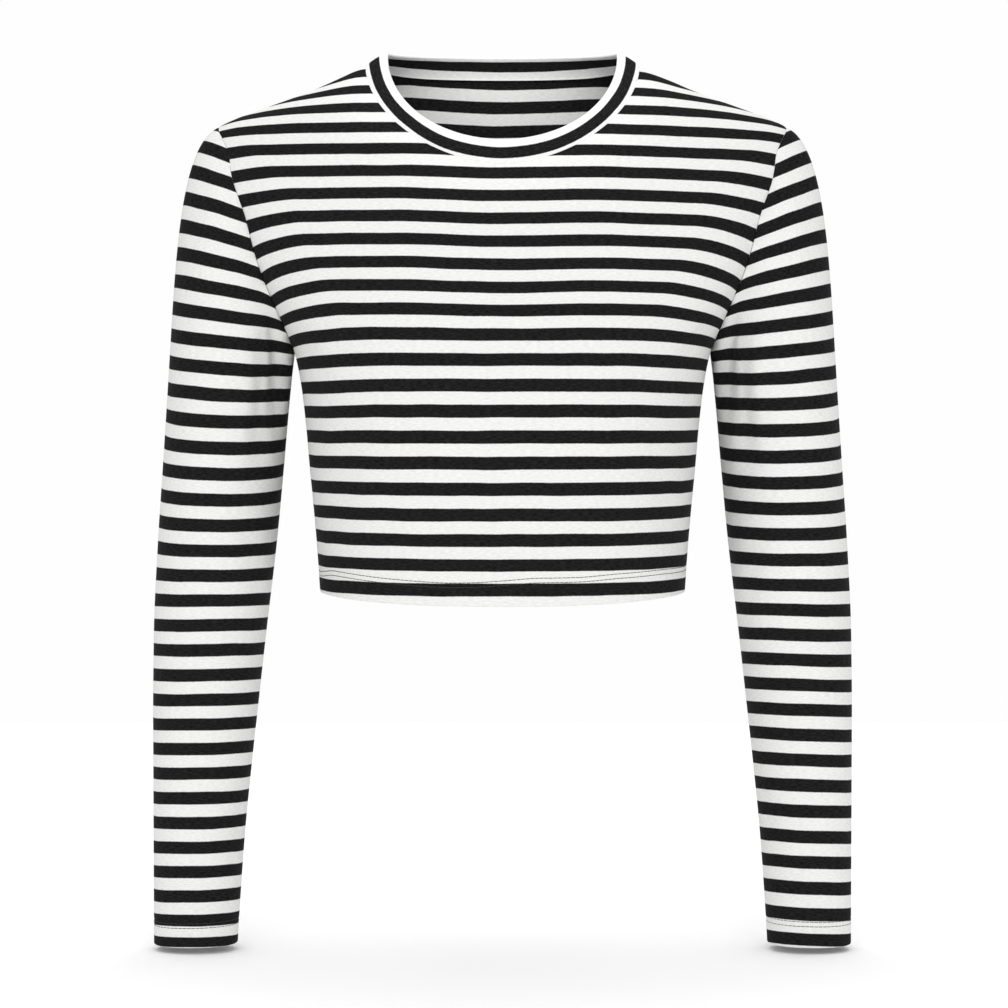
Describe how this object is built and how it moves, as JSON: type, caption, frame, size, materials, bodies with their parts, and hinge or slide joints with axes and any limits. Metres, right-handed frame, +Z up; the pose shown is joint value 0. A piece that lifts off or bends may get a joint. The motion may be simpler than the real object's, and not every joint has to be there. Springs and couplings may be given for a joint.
{
  "type": "crop top",
  "caption": "Long-sleeved crew-neck crop top in striped jersey, hollow and filled out as worn, open at the neck, hem and cuffs.",
  "frame": {"origin": "where the wearer's shoulders hold it: on the centre plane, in the plane of the shoulder and side seams, level with the neckband at the sides of the neck", "axes": "+X is the wearer's left, so sleeve_left is at +X; -Y is the front; +Z is up"},
  "size_m": [0.4836, 0.2242, 0.6146],
  "materials": {
    "front": "matte cotton jersey, striped black and off-white",
    "back": "matte cotton jersey, striped black and off-white",
    "sleeve_left": "matte cotton jersey, striped black and off-white",
    "sleeve_right": "matte cotton jersey, striped black and off-white",
    "neckband": "matte cotton jersey, striped black and off-white"
  },
  "bodies": {
    "root": {"front": "front", "back": "back", "sleeve_left": "sleeve_left", "sleeve_right": "sleeve_right", "neckband": "neckband"}
  },
  "joints": []
}
